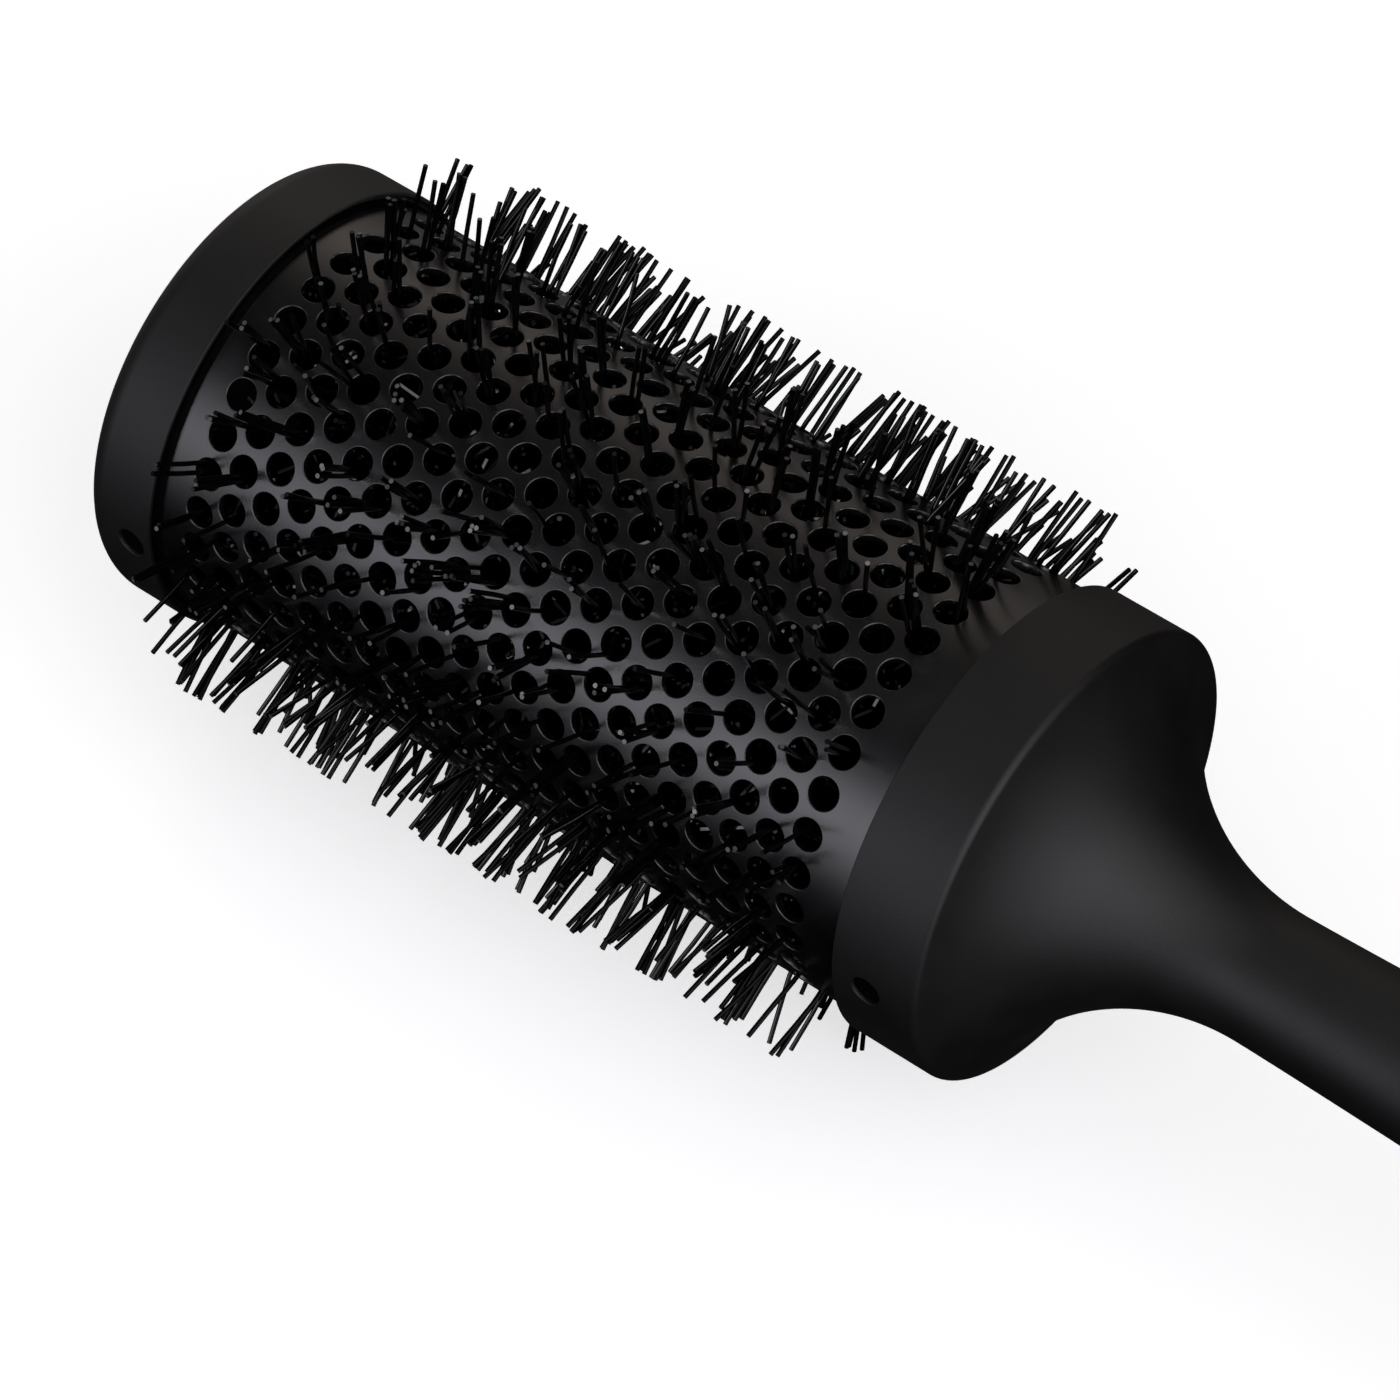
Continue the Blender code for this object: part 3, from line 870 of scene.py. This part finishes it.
# Stage ----------------------------------------------------------------------------------------

def camera():
    """The camera, which stands where the photograph was taken from."""
    data = bpy.data.cameras.new("camera")
    data.lens = CAMERA_LENS
    data.sensor_width = CAMERA_SENSOR
    made = bpy.data.objects.new("camera", data)
    away = toward(*CAMERA_DIRECTION)
    made.location = CAMERA_TARGET + away * CAMERA_DISTANCE
    made.rotation_euler = (-away).to_track_quat("-Z", "Y").to_euler()
    bpy.context.scene.collection.objects.link(made)
    bpy.context.scene.camera = made


def stand(name, build, base, emission):
    """A white part of the studio that shows to the camera but adds no light and no reflection."""
    made, tree, shader = new_material(name)
    shade = mixed(tree, noise(tree, scale=40.0), first=(base,) * 3, second=(base + 0.02,) * 3)
    tree.links.new(shade, shader.inputs["Base Color"])
    shader.inputs["Roughness"].default_value = 0.2
    shader.inputs["IOR"].default_value = 1.3
    shader.inputs["Emission Color"].default_value = (1.0, 1.0, 1.0, 1.0)
    shader.inputs["Emission Strength"].default_value = emission
    form = bmesh.new()
    build(form)
    mesh = bpy.data.meshes.new(name)
    form.to_mesh(mesh)
    form.free()
    mesh.materials.append(made)
    ground = bpy.data.objects.new(name, mesh)
    ground.visible_glossy = False
    ground.visible_diffuse = False
    ground.visible_shadow = False
    bpy.context.scene.collection.objects.link(ground)


def flat_grid(form):
    bmesh.ops.create_grid(form, x_segments=8, y_segments=8, size=FLOOR_REACH)


def ball(form):
    bmesh.ops.create_uvsphere(form, u_segments=64, v_segments=32, radius=BACKDROP_RADIUS)


def math_node(tree, operation, first, second):
    """A Math node on two sockets or numbers."""
    made = tree.nodes.new("ShaderNodeMath")
    made.operation = operation
    for socket, value in zip(made.inputs, (first, second)):
        if isinstance(value, float):
            socket.default_value = value
        else:
            tree.links.new(value, socket)
    return made.outputs["Value"]


def vector_node(tree, operation, first, **inputs):
    """A Vector Math node whose first input is a socket and whose others are sockets or plain values."""
    made = tree.nodes.new("ShaderNodeVectorMath")
    made.operation = operation
    tree.links.new(first, made.inputs[0])
    for name, value in inputs.items():
        socket = made.inputs[1] if name == "second" else made.inputs[name]
        if hasattr(value, "is_linked"):
            tree.links.new(value, socket)
        else:
            socket.default_value = value
    return made


def studio():
    """Soft panels of light round the brush. Each glows most in its direction and fades away from it."""
    world = bpy.data.worlds.new("studio")
    world.use_nodes = True
    tree = world.node_tree
    background = tree.nodes["Background"]
    where = tree.nodes.new("ShaderNodeTexCoord").outputs["Generated"]
    total = None
    for azimuth, elevation, narrowness, edge, strength, tint in PANELS:
        aim = vector_node(tree, "DOT_PRODUCT", where, second=toward(azimuth, elevation))
        away = math_node(tree, "SUBTRACT", 1.0, aim.outputs["Value"])
        scaled = math_node(tree, "MULTIPLY", away, narrowness)
        fall = math_node(tree, "POWER", scaled, edge)
        glow = math_node(tree, "EXPONENT", math_node(tree, "MULTIPLY", fall, -1.0), 0.0)
        colour = tree.nodes.new("ShaderNodeCombineXYZ")
        for socket, share in zip(colour.inputs, tint):
            socket.default_value = share * strength
        panel = vector_node(tree, "SCALE", colour.outputs["Vector"], Scale=glow)
        total = panel if total is None else vector_node(tree, "ADD", total.outputs["Vector"],
                                                        second=panel.outputs["Vector"])
    tree.links.new(total.outputs["Vector"], background.inputs["Color"])
    bpy.context.scene.world = world
    bpy.context.scene.view_settings.view_transform = "Standard"


def soft_box(name, azimuth, elevation, size, energy, receivers):
    """A square light that only some pieces take."""
    data = bpy.data.lights.new(name, "AREA")
    data.shape = "SQUARE"
    data.size = size
    data.energy = energy
    made = bpy.data.objects.new(name, data)
    away = toward(azimuth, elevation)
    made.location = away * SOFT_BOX_DISTANCE + Vector((0.0, 0.0, AXIS_HEIGHT * MM))
    made.rotation_euler = away.to_track_quat("Z", "Y").to_euler()
    made.visible_camera = False
    lit = bpy.data.collections.new(name + "_receivers")
    for piece in receivers:
        lit.objects.link(bpy.data.objects[piece])
    made.light_linking.receiver_collection = lit
    bpy.context.scene.collection.objects.link(made)


def main():
    camera()
    studio()
    stand("white_floor", flat_grid, base=0.80, emission=0.585)
    stand("white_backdrop", ball, base=0.02, emission=1.0)
    barrel_shell()
    cap_shell()
    handle_shell()
    handle_end()
    for number, angle in enumerate(PIN_ANGLES, 1):
        pin(f"cap_pin_head_{number}", f"cap_pin_{number}", CAP_PIN_STATION, angle)
        pin(f"collar_pin_head_{number}", f"collar_pin_{number}", COLLAR_PIN_STATION, angle)
    strand("strand_a", "core_wire_a", 0.0)
    strand("strand_b", "core_wire_b", 0.5)
    for number in GROUPS:
        bristle_group(number)
    for soft_box_values in SOFT_BOXES:
        soft_box(*soft_box_values)
    for node, slot in HIDDEN_PIECES.items():
        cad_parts[node].data.materials[0] = FINISHES[slot]


main()
